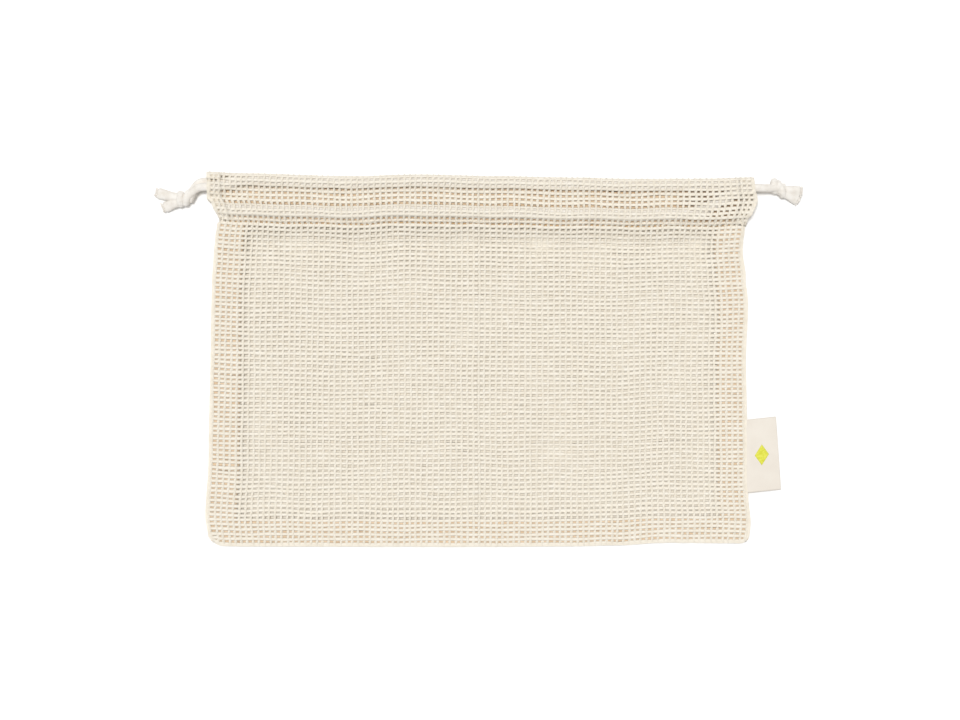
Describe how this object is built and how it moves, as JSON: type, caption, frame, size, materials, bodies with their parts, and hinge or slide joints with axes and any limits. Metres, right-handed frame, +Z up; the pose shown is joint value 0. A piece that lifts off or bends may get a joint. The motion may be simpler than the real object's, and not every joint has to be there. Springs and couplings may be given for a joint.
{
  "type": "mesh laundry bag",
  "caption": "Flat unbleached cotton net laundry bag with a cord casing along the mouth, knotted drawstrings and a small side-seam label.",
  "frame": {"origin": "middle of the face that the bag rests on, under the centre of its 300 x 208 mm outline", "axes": "+Z up through the thickness, +Y from the bottom seam to the mouth, X along the mouth with +X on the label's side"},
  "size_m": [0.365, 0.208, 0.0127],
  "materials": {
    "net_cotton": "unbleached open-weave cotton net, matt",
    "casing_cotton": "unbleached open-weave cotton net, doubled, matt",
    "thread": "matt cotton sewing thread",
    "cord_cotton": "soft off-white braided cotton cord, matt",
    "label_tape": "off-white woven cotton tape, matt",
    "label_ink": "yellow-green ink, matt"
  },
  "bodies": {
    "bag": {"back_panel": "net_cotton", "front_panel": "net_cotton", "left_side_seam": "net_cotton", "right_side_seam": "net_cotton", "bottom_seam": "net_cotton", "back_casing": "casing_cotton", "front_casing": "casing_cotton", "back_casing_stitching": "thread", "front_casing_stitching": "thread"},
    "left_drawstring": {"left_cord": "cord_cotton", "back_casing_right_hem": "casing_cotton", "front_casing_right_hem": "casing_cotton"},
    "right_drawstring": {"right_cord": "cord_cotton", "back_casing_left_hem": "casing_cotton", "front_casing_left_hem": "casing_cotton"},
    "left_knot": {"left_knot": "cord_cotton"},
    "right_knot": {"right_knot": "cord_cotton"},
    "label": {"label": "label_tape", "label_print": "label_ink"}
  },
  "joints": [
    {"name": "left_drawstring_pull", "type": "slide", "parent": "bag", "child": "left_drawstring", "axis": [-1, 0, 0], "range_m": [0, 0.09], "deforming": ["front_casing", "front_casing_stitching"]},
    {"name": "right_drawstring_pull", "type": "slide", "parent": "bag", "child": "right_drawstring", "axis": [1, 0, 0], "range_m": [0, 0.09], "deforming": ["back_casing", "back_casing_stitching"]},
    {"name": "left_knot_swing", "type": "hinge", "parent": "left_drawstring", "child": "left_knot", "pos_m": [-0.1635, 0.0907, 0.0049], "axis": [0, 0, 1], "range_deg": [-35, 35]},
    {"name": "right_knot_swing", "type": "hinge", "parent": "right_drawstring", "child": "right_knot", "pos_m": [0.166, 0.0963, 0.0049], "axis": [0, 0, 1], "range_deg": [-35, 35]},
    {"name": "label_flap", "type": "hinge", "parent": "bag", "child": "label", "pos_m": [0.15065, -0.0527, 0.0034], "axis": [0, -1, 0], "range_deg": [0, 90]}
  ]
}
